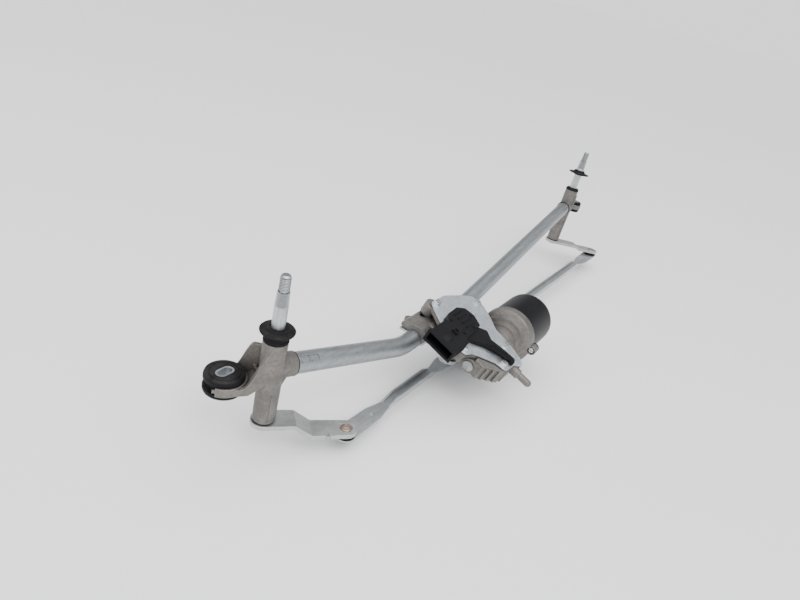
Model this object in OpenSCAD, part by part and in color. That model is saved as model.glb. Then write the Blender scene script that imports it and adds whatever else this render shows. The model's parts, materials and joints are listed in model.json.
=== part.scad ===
// Windscreen wiper linkage: two spindles on a tube frame, a geared motor, a crank and two rods.
// X runs from the near spindle to the far one, Z up along the near spindle.
// The origin is on the near spindle's axis, at the foot of its thread.

/* [Layout] */
// Distance between the two spindle axes at the barrel feet
spindle_span = 683; // [640:1:740]
// Height of the far barrel's foot over the near one's
far_rise = 4; // [0:0.5:10]
// Lean of the far spindle away from the motor, degrees
far_tilt = 5; // [2:0.5:7]
// Gear axis on the cover's top face, along the frame
motor_x = 227; // [215:1:240]
// Gear axis on the cover's top face, across the frame
motor_y = -69; // [-75:1:-66]
// Gear axis on the cover's top face, above the near barrel's foot
motor_z = 42; // [40:0.5:46]
// Tilt of the motor about the frame's length, degrees
motor_tilt = 18.3; // [16:0.1:20]

/* [Frame tube] */
// Outer diameter of the frame tube
tube_d = 19; // [17:0.5:20]
// Wall of the frame tube
tube_wall = 1.5; // [1:0.1:2.5]
// Radius of the tube's two bends, at its centre line
tube_bend_r = 70; // [50:5:90]
// Height where the tube's line meets the near spindle
near_tube_z = 52.5; // [48:0.5:56]
// Height where the tube's line meets the far spindle, along that spindle
far_tube_z = 59; // [54:0.5:64]
// Length of each housing's plug inside the tube
plug_len = 30; // [24:1:40]

/* [Spindles] */
// Spindle diameter in the bushes
spindle_d = 11; // [10:0.5:12]
// Thread diameter at the spindle tips
thread_d = 8; // [6:1:8]
// Length of the thread
thread_len = 14; // [11:0.5:18]
// Length of the knurled cone under the thread
knurl_len = 13.5; // [10:0.5:16]
// Height of the near thread's foot above the near barrel's foot
near_seat_h = 122; // [116:1:130]
// Height of the far thread's foot above the far barrel's foot
far_seat_h = 135; // [126:1:142]
// Outer diameter of both barrels
barrel_d = 20; // [19:0.5:23]
// Length of the near barrel
near_barrel_h = 78; // [74:1:82]
// Length of the far barrel
far_barrel_h = 86; // [82:1:92]
// Wall of the bushes in the barrels
bush_wall = 1.5; // [1:0.1:2]
// Length of each bush
bush_len = 16; // [10:1:20]
// Thickness of the thrust washers at the barrel feet
washer_t = 1.4; // [1:0.1:2]

/* [Levers] */
// Plate thickness of the levers
lever_t = 4; // [3:0.25:4.5]
// Near lever, spindle to pivot
near_lever_r = 73.4; // [70:0.2:78]
// Near lever's direction from +X, degrees
near_lever_a = -40.4; // [-46:0.1:-36]
// Step down of the near lever
near_step = 11.3; // [8:0.1:13]
// Far lever, spindle to pivot
far_lever_r = 76.5; // [72:0.5:80]
// Far lever's direction from +X, degrees
far_lever_a = -48.3; // [-54:0.1:-44]
// Step down of the far lever
far_step = 3; // [2:0.25:5]
// Width of a lever round its spindle
lever_w = 22; // [21:0.5:26]
// Width of a lever round its pivot
lever_end_w = 20; // [18:0.5:22]

/* [Rods] */
// Plate thickness of the rods
rod_t = 1.8; // [1.5:0.1:2.5]
// Width of a rod's flat ends
rod_end_w = 20; // [19:0.5:23]
// Width of a rod's channel
rod_w = 11; // [9:0.5:13]
// Height of the channel's flanges over the plate
rod_flange_h = 6; // [3:0.5:8]
// Length of a rod's flat ends from the pivot
rod_flat = 45; // [40:1:52]
// Length of the taper from the flat end to the channel
rod_taper = 18; // [17:1:24]
// Outer diameter of the pivot sockets
socket_d = 17; // [16:0.5:18]
// Gap between a lever and the socket under it
pivot_gap = 0.5; // [0.4:0.1:1]

/* [Crank] */
// Crank radius, output shaft to ball pin
crank_r = 54; // [50:0.5:58]
// Thickness of the crank arm
crank_t = 5; // [4:0.5:6]
// Step down of the crank arm towards its pin
crank_step = 4; // [2:0.5:6]
// Depth of the crank's hub face under the motor's cover
crank_depth = 47; // [46:0.5:50]
// Ball diameter on the crank pin
ball_d = 13; // [12:0.5:13.5]
// Distance between the two balls
ball_pitch = 10.5; // [10:0.25:12]
// Output shaft diameter
out_d = 12; // [10:0.5:13]

/* [Motor] */
// Circle of the four cover screws
cover_pcd = 85; // [84:0.5:88]
// Thickness of the gear cover
cover_t = 1.5; // [1:0.1:2]
// Thickness of the cover's gasket
gasket_t = 0.8; // [0.5:0.1:1.2]
// Outer diameter of the motor's yoke
yoke_d = 60; // [56:0.5:64]
// Wall of the yoke
yoke_wall = 1.8; // [1.2:0.1:2.4]
// Length of the yoke
yoke_len = 62; // [56:1:66]
// Distance of the yoke's open end from the gear axis
yoke_x = 60.5; // [60:0.5:64]
// Distance between the worm axis and the gear axis
worm_y = 29; // [28.5:0.1:29.5]
// Depth of the worm axis under the cover's top
worm_z = 14.5; // [14:0.1:15]
// Gear teeth
gear_teeth = 54; // [50:1:56]
// Tooth module of the worm drive
gear_module = 0.9; // [0.85:0.01:0.92]
// Thickness of the worm gear
gear_t = 8; // [6:0.5:9]
// Locating peg's diameter
peg_d = 7.5; // [6:0.5:9]
// Locating peg's free length
peg_len = 24; // [18:1:30]

/* [Grommets] */
// Near grommet's outer diameter
near_grommet_d = 33; // [31:0.5:36]
// Near grommet's height
near_grommet_h = 17.5; // [15:0.5:20]
// Near grommet's place beside the spindle, along and across
near_grommet_off = 25; // [24:0.5:28]
// Middle height of the near grommet above the barrel's foot
near_grommet_z = 36; // [33:0.5:40]
// Far grommet's outer diameter
far_grommet_d = 22; // [20:0.5:25]
// Far grommet's height
far_grommet_h = 17; // [14:0.5:20]
// Distance of the far grommet from the far spindle
far_grommet_off = 28; // [26:0.5:32]
// Direction of the far grommet from +X, degrees
far_grommet_a = -10; // [-30:1:0]
// Middle height of the far grommet along the far spindle
far_grommet_z = 58; // [52:1:64]
// Bolt hole in the far grommet's sleeve
far_hole_d = 8.4; // [6.4:0.1:9]

/* [Hidden] */
$fn = 64;

// Small gap of a running fit, on the radius
run_gap = 0.04;
// Small gap between parts that only lie beside each other
side_gap = 0.1;
// Overlap that makes a cut pass a face cleanly
cut = 1;

cast = "#a39c94";
zinc = "#c3c8cb";
steel = "#9aa0a4";
rubber = "#1d1d1f";
black = "#242427";
copper = "#b08d74";
brass = "#b99b52";
bronze = "#8a6d4a";

tube_r = tube_d / 2;
tube_bore_r = tube_r - tube_wall;
barrel_r = barrel_d / 2;
spindle_r = spindle_d / 2;
bush_r = spindle_r + bush_wall;
neck_r = spindle_r - 0.5;
head_r = spindle_r + 1.5;
head_t = 2;

// Vectors and places
function unit(v) = v / norm(v);
function tilt_x(a, v) = [v.x, v.y * cos(a) - v.z * sin(a), v.y * sin(a) + v.z * cos(a)];
function tilt_y(a, v) = [v.x * cos(a) + v.z * sin(a), v.y, -v.x * sin(a) + v.z * cos(a)];
function motor_point(v) = [motor_x, motor_y, motor_z] + tilt_x(motor_tilt, v);
function far_point(v) = [spindle_span, 0, far_rise] + tilt_y(far_tilt, v);
function polar(r, a) = [r * cos(a), r * sin(a)];

// Moves what is drawn from the near barrel's foot to the part's origin
module stand() { translate([0, 0, -near_seat_h]) children(); }
module at_far() { stand() translate([spindle_span, 0, far_rise]) rotate([0, far_tilt, 0]) children(); }
module at_motor() {
    stand() translate([motor_x, motor_y, motor_z]) rotate([motor_tilt, 0, 0]) children();
}
// Turns local +X towards b, seen from a
module aim(a, b) {
    d = b - a;
    translate(a) rotate([0, -asin(d.z / norm(d)), atan2(d.y, d.x)]) children();
}
module ring(r, bore, h) {
    difference() {
        cylinder(r = r, h = h);
        translate([0, 0, -cut]) cylinder(r = bore, h = h + 2 * cut);
    }
}
// A bar along +X
module bar(r, len) { rotate([0, 90, 0]) cylinder(r = r, h = len); }
module revolve_x(profile) { rotate([0, 90, 0]) rotate_extrude() polygon(profile); }

// Outline with round corners
function corner_arc(before, at, after, r, n) = let (
    a = unit(before - at), b = unit(after - at), half = acos(a * b) / 2,
    centre = at + unit(a + b) * (r / sin(half)),
    from = at + a * (r / tan(half)) - centre, to = at + b * (r / tan(half)) - centre,
    start = atan2(from.y, from.x),
    turn = ((atan2(to.y, to.x) - start + 540) % 360) - 180)
    [for (i = [0:n]) centre + polar(r, start + turn * i / n)];
function rounded(p, r, n = 5) = let (last = len(p))
    [for (i = [0:last - 1]) each corner_arc(p[(i + last - 1) % last], p[i], p[(i + 1) % last], r, n)];

// Frame tube
tube_a = [0, 0, near_tube_z];
tube_b = [motor_x - 74, motor_y + 37.2, motor_z - 18];
tube_c = [motor_x + 64, motor_y + 40.2, motor_z - 19];
tube_e = far_point([0, 0, far_tube_z]);
tube_in = barrel_r + 10.5;
tube_out = barrel_r + 6;
crimp = [8, 5.5, 0.8];
crimp_at = [8, 18.5];
crimp_a = 40;
// A bend is a hair wider than the runs, and each run laps a little way into it
bend_swell = 0.03;
bend_lap = 1;

function along(a, b, d) = a + unit(b - a) * d;
function bend_reach(a, p, c) = let (turn = acos(unit(p - a) * unit(c - p))) tube_bend_r * tan(turn / 2);
module tube_run(a, b, r) { aim(a, b) bar(r, norm(b - a)); }
module tube_bend(a, p, c, r) {
    u = unit(p - a);
    w = unit(c - p);
    n = unit(cross(u, w));
    start = p - u * bend_reach(a, p, c);
    out = -cross(n, u);
    hub = start - out * tube_bend_r;
    multmatrix([[out.x, u.x, n.x, hub.x], [out.y, u.y, n.y, hub.y], [out.z, u.z, n.z, hub.z], [0, 0, 0, 1]])
        rotate_extrude(angle = acos(u * w)) translate([tube_bend_r, 0]) circle(r);
}
module tube_body(r, past) {
    b_reach = bend_reach(tube_a, tube_b, tube_c);
    c_reach = bend_reach(tube_b, tube_c, tube_e);
    from = along(tube_a, tube_b, tube_in - past);
    to = along(tube_e, tube_c, tube_out - past);
    tube_run(from, along(tube_b, tube_a, b_reach - bend_lap), r);
    tube_bend(tube_a, tube_b, tube_c, r + bend_swell);
    tube_run(along(tube_b, tube_c, b_reach - bend_lap), along(tube_c, tube_b, c_reach - bend_lap), r);
    tube_bend(tube_b, tube_c, tube_e, r + bend_swell);
    tube_run(along(tube_c, tube_e, c_reach - bend_lap), to, r);
}
// Pressed dents that lock the tube on a housing's plug
module crimps(from, to, a) {
    aim(from, to) for (at = crimp_at, side = [0, 180])
        rotate([a + side, 0, 0]) translate([at - crimp.x / 2, -crimp.y / 2, tube_r - crimp.z])
            cube([crimp.x, crimp.y, crimp.z + cut]);
}
module frame_tube() {
    color(zinc) stand() difference() {
        tube_body(tube_r, 0);
        tube_body(tube_bore_r, cut);
        crimps(along(tube_a, tube_b, tube_in), tube_b, crimp_a);
        crimps(along(tube_e, tube_c, tube_out), tube_c, -crimp_a);
    }
}

// Near housing: barrel, tube spigot and the fork that carries the grommet
fork_a = 135;
fork_reach = near_grommet_off * sqrt(2);
fork_h = 7.5;
fork_z = near_grommet_z - fork_h / 2;
waist_r = near_grommet_d / 2 - 3.5;
fork_r = near_grommet_d / 2 + 1.5;
fork_tip = 6;
fork_floor = 3;
flange_gap = 0.5;
fork_wall = 3.5;
// The two walls run from the barrel to the fork's ring, a little inside their tangents
wall_in = 0.4;
fork_spread = asin((fork_r - barrel_r) / fork_reach);
wall_from = -6;
nib_r = 1.6;
nib_len = 2.5;
cross_t = 2;
cross_h = 5;
seal_t = 1;
spigot_r = tube_r + 1;

// Each wall's top edge is an S down to the fork, between two places along the wall
fork_top = fork_z + fork_h;
fork_foot = fork_top + 1;
foot_to = barrel_r - 3;
slope_to = fork_reach / 2 + 1;
front_sweep = [1, fork_reach * 0.7];
front_top = near_barrel_h - 3;
rear_sweep = [17, fork_reach - 2.5];
rear_top = near_barrel_h - 12;
floor_lift = 0.6;
floor_a = atan2(fork_foot - fork_z, slope_to - foot_to);
floor_len = norm([fork_foot - fork_z, slope_to - foot_to]);
// Ends of the crossing ribs, along the walls
cross_from = 6;
cross_to = 16;
sweep_end = fork_top - 1.5;
function sweep_top(t, top) = sweep_end + (top - sweep_end) * (1 + cos(180 * t)) / 2;
module fork_side(sweep, top) {
    rotate([90, 0, 0]) linear_extrude(fork_wall) polygon(concat(
        [[wall_from, top], [wall_from, fork_foot], [foot_to, fork_foot], [slope_to, fork_z],
         [fork_reach, fork_z], [fork_reach, sweep_end]],
        [for (i = [12:-1:0]) [sweep[0] + (sweep[1] - sweep[0]) * i / 12, sweep_top(i / 12, top)]]));
}
// A point in the middle of a wall, at u along it
function wall_mid(u, side) = let (y = barrel_r - fork_wall / 2)
    [u * cos(fork_spread) - y * sin(fork_spread), side * (u * sin(fork_spread) + y * cos(fork_spread))];
module strip(a, b, t) {
    n = unit([a.y - b.y, b.x - a.x]) * t / 2;
    polygon([a + n, b + n, b - n, a - n]);
}
module fork() {
    far_off = 4 * fork_r;
    rotate([0, 0, fork_a]) {
        difference() {
            union() {
                translate([fork_reach, 0, fork_z]) cylinder(r = fork_r, h = fork_h);
                translate([0, 0, fork_z + floor_lift]) linear_extrude(fork_floor) polygon([
                    wall_mid(slope_to, -1),
                    [fork_reach, 2 - fork_r], [fork_reach, fork_r - 2], wall_mid(slope_to, 1)]);
                // sloped floor between the walls
                translate([foot_to, 0, fork_foot + floor_lift]) rotate([0, floor_a, 0])
                    linear_extrude(fork_floor)
                    polygon([[0, -barrel_r], [floor_len, -barrel_r - 3], [floor_len, barrel_r + 3], [0,
                        barrel_r]]);
                rotate([0, 0, fork_spread]) translate([0, barrel_r - wall_in, 0])
                    fork_side(front_sweep, front_top);
                rotate([0, 0, -fork_spread]) translate([0, wall_in + fork_wall - barrel_r, 0])
                    fork_side(rear_sweep, rear_top);
                // crossing ribs between the walls
                for (side = [-1, 1]) translate([0, 0, fork_foot + 0.5]) linear_extrude(cross_h)
                    strip(wall_mid(cross_from, side), wall_mid(cross_to, -side), cross_t);
            }
            translate([fork_reach, 0, fork_z - cut]) cylinder(r = waist_r, h = near_barrel_h);
            // room for the grommet's upper flange
            translate([fork_reach, 0, fork_top]) cylinder(r = near_grommet_d / 2 + flange_gap,
                h = near_barrel_h);
            // open end of the fork
            translate([fork_reach + fork_tip, -far_off / 2, -near_barrel_h]) cube([far_off, far_off,
                3 * near_barrel_h]);
        }
        // nibs at the fork's tips
        for (side = [-1, 1]) translate([fork_reach, side * (waist_r + nib_r + 0.4), fork_z + fork_h / 2])
            bar(nib_r, fork_tip + nib_len);
    }
}
module tube_plug(axis_point, towards, shoulder) {
    aim(axis_point, towards) {
        bar(spigot_r, shoulder - seal_t);
        translate([shoulder - seal_t - cut, 0, 0]) difference() {
            bar(tube_bore_r - run_gap, plug_len + cut);
            translate([plug_len * 0.4, 0, 0]) bar(tube_bore_r - 3, plug_len);
        }
    }
}
gusset_t = 6;
gusset_x = tube_in - 5;
module near_housing() {
    color(cast) stand() difference() {
        union() {
            cylinder(r1 = barrel_r - 0.3, r2 = barrel_r + 0.2, h = near_barrel_h);
            tube_plug(tube_a, tube_b, tube_in);
            // gusset under the spigot
            rotate([0, 0, atan2(tube_b.y, tube_b.x)]) rotate([90, 0, 0]) translate([0, 0, -gusset_t / 2])
                linear_extrude(gusset_t) polygon([[0, near_tube_z - 26], [barrel_r, near_tube_z - 22],
                    [gusset_x, near_tube_z - spigot_r - 2], [gusset_x, near_tube_z - 4], [0, near_tube_z]]);
            fork();
        }
        translate([0, 0, -cut]) cylinder(r = bush_r, h = near_barrel_h + 2 * cut);
    }
}
module bushes(h) {
    for (z = [0, h - bush_len]) translate([0, 0, z]) ring(bush_r, spindle_r + run_gap, bush_len);
}
module near_bushes() { color(bronze) stand() bushes(near_barrel_h); }
module near_boot() {
    lip = spindle_r + side_gap;
    h = near_barrel_h;
    color(rubber) stand() rotate_extrude() polygon([
        [8, h], [10.4, h], [10.4, h + 2], [9.4, h + 2.6], [9.4, h + 3.6], [10.6, h + 4.2], [10.6, h + 5.6],
        [9.8, h + 6.2], [12, h + 7.2], [14, h + 8.4], [14.3, h + 9.4], [13.6, h + 10.2], [9.6, h + 10.6],
        [8.8, h + 12], [lip, h + 12.4], [lip, h + 10], [8, h + 8]]);
}
module grommet(d, h, waist, groove_h, bore) {
    r = d / 2;
    g = groove_h / 2;
    rotate_extrude() polygon(concat(
        [[bore, -h / 2], [r - 2.5, -h / 2], [r - 0.7, -h / 2 + 0.7], [r, -h / 2 + 2.5], [r, -g],
            [waist, -g],
         [waist, g], [r, g], [r, h / 2 - 2.5], [r - 0.7, h / 2 - 0.7], [r - 2.5, h / 2]],
        [[bore + 3, h / 2], [bore + 1.5, h / 2 - 1.2], [bore, h / 2 - 1.2]]));
}
// Oblong sleeve in the near grommet
slot_w = 7;
slot_l = 13.5;
module obround(l, w, h) {
    linear_extrude(h) {
        square([l - w, w], center = true);
        for (side = [-1, 1]) translate([side * (l - w) / 2, 0]) circle(d = w);
    }
}
module at_near_grommet() {
    stand() translate([-near_grommet_off, near_grommet_off, near_grommet_z]) children();
}
module near_grommet() {
    color(rubber) at_near_grommet() difference() {
        grommet(near_grommet_d, near_grommet_h, waist_r - side_gap, fork_h + 2 * side_gap, 2);
        translate([0, 0, -near_grommet_h]) obround(slot_l + 3, slot_w + 3, near_grommet_h * 2);
    }
}
module near_sleeve() {
    h = near_grommet_h - 0.4;
    color(zinc) at_near_grommet() translate([0, 0, -h / 2]) difference() {
        obround(slot_l + 3, slot_w + 3, h);
        translate([0, 0, -cut]) obround(slot_l, slot_w, h + 2 * cut);
    }
}
module tube_seal(axis_point, towards, shoulder) {
    aim(axis_point, towards) translate([shoulder - seal_t, 0, 0]) difference() {
        bar(tube_r + 0.4, seal_t);
        translate([-cut, 0, 0]) bar(tube_bore_r, seal_t + 2 * cut);
    }
}
module near_tube_seal() { color(rubber) stand() tube_seal(tube_a, tube_b, tube_in); }
module far_tube_seal() { color(rubber) stand() tube_seal(tube_e, tube_c, tube_out); }

// Far housing: barrel, tube plug and a ring lug for the small grommet
lug_h = 7;
far_waist_r = far_grommet_d / 2 - 3;
lug_r = far_grommet_d / 2 + 0.5;
lug_w = 12;
lug_rib = 4;
module far_housing() {
    color(cast) difference() {
        union() {
            at_far() cylinder(r1 = barrel_r - 0.6, r2 = barrel_r, h = far_barrel_h);
            stand() tube_plug(tube_e, tube_c, tube_out);
            at_far() {
                rotate([0, 0, far_grommet_a]) {
                    translate([far_grommet_off, 0, far_grommet_z - lug_h / 2]) cylinder(r = lug_r,
                        h = lug_h);
                    translate([0, -lug_w / 2, far_grommet_z - lug_h / 2]) cube([far_grommet_off, lug_w,
                        lug_h]);
                    // gusset through the lug
                    rotate([90, 0, 0]) translate([0, 0, -lug_rib / 2]) linear_extrude(lug_rib)
                        polygon([[0, far_grommet_z + 18], [barrel_r, far_grommet_z + 14],
                            [far_grommet_off - far_waist_r - 3, far_grommet_z], [0, far_grommet_z - 16]]);
                }
                // long rib beside the barrel
                translate([-2, -barrel_r - 1.2, far_tube_z - 6]) cube([4, 4, far_barrel_h - far_tube_z]);
            }
        }
        at_far() {
            translate([0, 0, -cut]) cylinder(r = bush_r, h = far_barrel_h + 2 * cut);
            rotate([0, 0, far_grommet_a]) translate([far_grommet_off, 0, 0]) cylinder(r = far_waist_r,
                h = far_barrel_h);
        }
    }
}
module far_bushes() { color(bronze) at_far() bushes(far_barrel_h); }
cap_h = 4;
module far_cap_ring() {
    lip = spindle_r + side_gap;
    h = far_barrel_h;
    color(rubber) at_far() rotate_extrude() polygon([[8.2, h], [10.3, h], [10.3, h + 2], [9, h + cap_h],
        [lip, h + cap_h + 0.6], [lip, h + cap_h - 0.8], [8.2, h + cap_h - 1]]);
}
module at_far_grommet() {
    at_far() rotate([0, 0, far_grommet_a]) translate([far_grommet_off, 0, far_grommet_z]) children();
}
module far_grommet() {
    color(rubber) at_far_grommet()
        grommet(far_grommet_d, far_grommet_h, far_waist_r - side_gap, lug_h + 2 * side_gap,
            far_hole_d / 2 + 1.5);
}
module far_sleeve() {
    h = far_grommet_h - 0.4;
    color(zinc) at_far_grommet() translate([0, 0, -h / 2]) ring(far_hole_d / 2 + 1.5, far_hole_d / 2, h);
}

// Gear housing, cover and what is bolted to them, in the motor's own frame
flange_top = -cover_t - gasket_t;
pocket_r = gear_module * (gear_teeth / 2 + 1) + 1;
gear_top = -worm_z + gear_t / 2;
pocket_floor = -worm_z - gear_t / 2 - 0.8;
wall = 3.2;
housing_low = pocket_floor - wall;
tunnel_r = 11.8;
bore_r = 8.2;
end_x = -37;
end_boss_r = 8;
end_bush_r = 5.5;
end_bush_len = 7;
tunnel_x = end_x + 6;
// Block under the cover's front, with ribs on its two open faces
block_low = -20;
block_edge = [[-36, -31], [-38, -41], [-17, -59], [12, -60], [12, -31]];
block_turn = atan2(block_edge[2].y - block_edge[1].y, block_edge[2].x - block_edge[1].x);
block_rib = [2.5, 5, flange_top - block_low - 2];
screw_a = 22;
screw_spots = concat([for (k = [0:3]) polar(cover_pcd / 2, screw_a + 90 * k)], [[-12, -52]]);
screw_r = 2;
cover_screw_len = 12;
boss_len = cover_screw_len + 1;
lobe_r = 8.5;
cover_edge = [[-22, 44], [4, 43], [26.5, 34], [42.5, 25], [43.5, 9], [35.5, -6], [25.5, -20], [22.5, -44],
    [16.5, -60], [9, -67], [-1, -60], [-18, -59], [-21, -46], [-36, -25], [-48, -20], [-45, -10], [-39, 4],
    [-37, 19]];
// Ridged bell mouth: radius, and distance back from the yoke's open end
bell_steps = [[tunnel_r - 0.5, 33.5], [13, 31.5], [15.5, 29.5], [16.5, 24.5], [20, 23], [21, 18.5], [25, 17],
    [26, 13.5],
    [30, 11], [31.5, 9.5], [31.5, 0], [0, 0]];
bell_bore = 27.5;
bell_room = [[0, 25.5], [14, 25.5], [14, 18.5], [24, 14.5], [bell_bore, 9.5], [bell_bore, -cut], [0, -cut]];
function from_yoke(steps) = [for (s = steps) [s[0], yoke_x - s[1]]];
// Two screw lugs on the bell's rim: radius from the worm axis, direction and face
yoke_lug_r = 33;
yoke_lug_a = 74;
yoke_lug_x = yoke_x - 6;
lug_boss_r = 5.2;
lug_face_r = 3.8;
lug_inset = 0.2;
peg_x = 4;
peg_z = -8;
peg_root = -62;
// The peg's root is thicker, out past the cover's tip
peg_root_r = peg_d / 2 + 1.5;
peg_root_len = 8;
out_bush_r = out_d / 2 + 1.8;
boss_r = out_bush_r + 3;
boss_low = -crank_depth + 1.2;
saddle_x0 = -50;
saddle_x1 = -5;
saddle_w = 28;
saddle_y = 3;
strap_t = 2;
strap_at = -34;
strap_hole_y = tube_r + strap_t + 5;
ear_r = 5.5;
strap_w = 14;

function tube_at(x) = let (t = (x - tube_b.x) / (tube_c.x - tube_b.x)) tube_b + (tube_c - tube_b) * t;
saddle_from = tube_at(motor_x + saddle_x0);
saddle_to = tube_at(motor_x + saddle_x1);
module at_worm() { translate([0, -worm_y, -worm_z]) children(); }
// Local +X along the tube at the saddle
module at_saddle() { stand() aim(saddle_from, saddle_to) children(); }
saddle_len = norm(saddle_to - saddle_from);
saddle_h = 15;
ear_h = 11;
skirt_h = 9;
shoulder = 5;

module saddle_block() {
    at_saddle() {
        difference() {
            translate([0, saddle_y - saddle_w / 2, -1]) cube([saddle_len, saddle_w, saddle_h + 1]);
            // sloped shoulders
            for (side = [-1, 1]) translate([-cut, saddle_y + side * saddle_w / 2, saddle_h])
                rotate([45, 0, 0])
                translate([0, -shoulder / 2, -shoulder / 2]) cube([saddle_len + 2 * cut, shoulder,
                    shoulder]);
            // raised skirt at the back
            translate([-cut, tube_r - 1, -1 - cut]) cube([saddle_len + 2 * cut, saddle_w, skirt_h + cut]);
            // slotted recess on top
            translate([saddle_len * 0.66, saddle_y + 4, saddle_h - 2.5]) obround(17, 7, 5);
        }
        translate([saddle_len * 0.75, saddle_y - 7, saddle_h - 0.5]) cylinder(r = 4, h = 2);
        // ears for the strap's screws
        for (side = [-1, 1]) translate([strap_at - saddle_x0, side * strap_hole_y, -1]) {
            cylinder(r = ear_r, h = ear_h);
            translate([-ear_r, side > 0 ? -strap_hole_y : 0, 0]) cube([2 * ear_r, strap_hole_y, ear_h]);
        }
    }
}
// Turns a lug's place to both sides of the worm axis
module at_yoke_lugs(x) {
    for (side = [0, 180]) rotate([yoke_lug_a + side, 0, 0]) translate([x, 0, yoke_lug_r]) children();
}
module gear_housing_solid() {
    at_motor() {
        translate([0, 0, housing_low]) cylinder(r = pocket_r + wall, h = flange_top - housing_low);
        translate([0, 0, flange_top - 4]) linear_extrude(4) polygon(rounded(cover_edge, 5));
        for (p = screw_spots) translate([p.x, p.y, flange_top - boss_len]) cylinder(r = 5, h = boss_len);
        // lobe behind the cover's back corner
        translate([screw_spots[1].x - 2, screw_spots[1].y + 2, flange_top - boss_len])
            cylinder(r = lobe_r, h = boss_len - 1);
        // worm tunnel, its end boss and the bell mouth with its ridges
        at_worm() {
            translate([end_x, 0, 0]) bar(end_boss_r, -end_x);
            translate([tunnel_x, 0, 0]) bar(tunnel_r, yoke_x - 25 - tunnel_x);
            revolve_x(concat([[0, yoke_x - 33.5]], from_yoke(bell_steps)));
            at_yoke_lugs(yoke_lug_x - 3) bar(lug_boss_r, yoke_x - yoke_lug_x + 3 - lug_inset);
        }
        // ribbed block under the cover's front
        translate([0, 0, block_low]) linear_extrude(flange_top - block_low) polygon(block_edge);
        for (i = [0:3]) translate([block_edge[2].x + 3 + 7 * i, block_edge[2].y - 2, block_low + 1])
            cube(block_rib);
        translate([block_edge[1].x, block_edge[1].y, block_low + 1]) rotate([0, 0, block_turn])
            for (i = [0:2]) translate([5 + 7.5 * i, -2, 0]) cube(block_rib);
        // peg that plugs into the car body
        translate([peg_x, peg_root, peg_z]) rotate([90, 0, 0]) {
            translate([0, 0, -peg_root_len]) cylinder(r = peg_root_r, h = 2 * peg_root_len);
            cylinder(r = peg_d / 2, h = peg_len - peg_d / 2);
            translate([0, 0, peg_len - peg_d / 2]) sphere(r = peg_d / 2);
        }
        // output boss with ribs
        translate([0, 0, boss_low]) cylinder(r = boss_r, h = -boss_low + housing_low + cut);
        for (a = [30:60:330]) rotate([0, 0, a]) rotate([90, 0, 0]) translate([0, 0, -1.25])
            linear_extrude(2.5)
            polygon([[0, housing_low + 1], [pocket_r, housing_low + 1], [boss_r + 1, boss_low + 6], [0,
                boss_low + 6]]);
        // web from the saddle to the gear pocket
        translate([saddle_x0 + 12, 6, housing_low + 2]) cube([-saddle_x0 - 12, 22, 10]);
        translate([-20, 18, flange_top - 16]) cube([16, 20, 14]);
    }
    saddle_block();
}
module gear_housing() {
    color(cast) difference() {
        gear_housing_solid();
        stand() tube_run(tube_b, tube_c, tube_r + run_gap);
        at_saddle() for (side = [-1, 1]) translate([strap_at - saddle_x0, side * strap_hole_y, -cut - 1])
            cylinder(r = screw_r, h = 9 + cut);
        at_motor() {
            translate([0, 0, pocket_floor]) cylinder(r = pocket_r, h = 40);
            translate([0, 0, boss_low - cut]) cylinder(r = out_bush_r, h = -boss_low + cut);
            for (p = screw_spots) translate([p.x, p.y, -cover_screw_len - cut]) cylinder(r = screw_r,
                h = cover_screw_len + cut);
            at_worm() {
                translate([end_x + 4, 0, 0]) bar(end_bush_r, end_bush_len + cut);
                translate([end_x + 4 + end_bush_len, 0, 0]) bar(bore_r, yoke_x - end_x - 4 - end_bush_len);
                translate([end_x - cut, 0, 0]) bar(4, 20);
                revolve_x(from_yoke(bell_room));
                at_yoke_lugs(yoke_lug_x - 24) bar(lug_face_r, 24);
                at_yoke_lugs(yoke_lug_x - cut) bar(screw_r, yoke_x - yoke_lug_x + 2 * cut);
            }
        }
    }
}
module tube_strap() {
    color(zinc) at_saddle() translate([strap_at - saddle_x0 - strap_w / 2, 0, 0]) difference() {
        union() {
            bar(tube_r + run_gap + strap_t, strap_w);
            translate([0, -strap_hole_y - ear_r, -1 - strap_t]) cube([strap_w,
                2 * (strap_hole_y + ear_r), strap_t]);
        }
        translate([-cut, 0, 0]) bar(tube_r + run_gap, strap_w + 2 * cut);
        translate([-cut, -saddle_w, -1]) cube([strap_w + 2 * cut, 2 * saddle_w, 40]);
        for (side = [-1, 1]) translate([strap_w / 2, side * strap_hole_y, -5])
            cylinder(r = screw_r + 0.3, h = 10);
    }
}
// A pan-head screw, head up, seated at z = 0
module screw(len, head = 4, head_h = 2.6) {
    translate([0, 0, -len]) cylinder(r = screw_r, h = len + 0.5);
    difference() {
        cylinder(r1 = head, r2 = head - 0.5, h = head_h);
        for (a = [0, 90]) rotate([0, 0, a]) translate([-2.4, -0.5, head_h - 1.2]) cube([4.8, 1, 2]);
    }
}
module strap_screws() {
    color(zinc) at_saddle() for (side = [-1, 1])
        translate([strap_at - saddle_x0, side * strap_hole_y, -1 - strap_t]) rotate([180, 0, 0]) screw(9);
}
module gear_cover() {
    color(zinc) at_motor() difference() {
        translate([0, 0, -cover_t]) linear_extrude(cover_t) polygon(rounded(cover_edge, 6));
        for (p = screw_spots) translate([p.x, p.y, -cover_t - cut]) cylinder(r = screw_r + 0.3,
            h = cover_t + 2 * cut);
    }
}
module cover_gasket() {
    color(black) at_motor() difference() {
        translate([0, 0, flange_top]) linear_extrude(gasket_t) polygon(rounded(cover_edge, 5));
        translate([0, 0, flange_top - cut]) cylinder(r = pocket_r, h = gasket_t + 2 * cut);
        for (p = screw_spots) translate([p.x, p.y, flange_top - cut]) cylinder(r = screw_r + 0.3,
            h = gasket_t + 2 * cut);
    }
}
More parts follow.
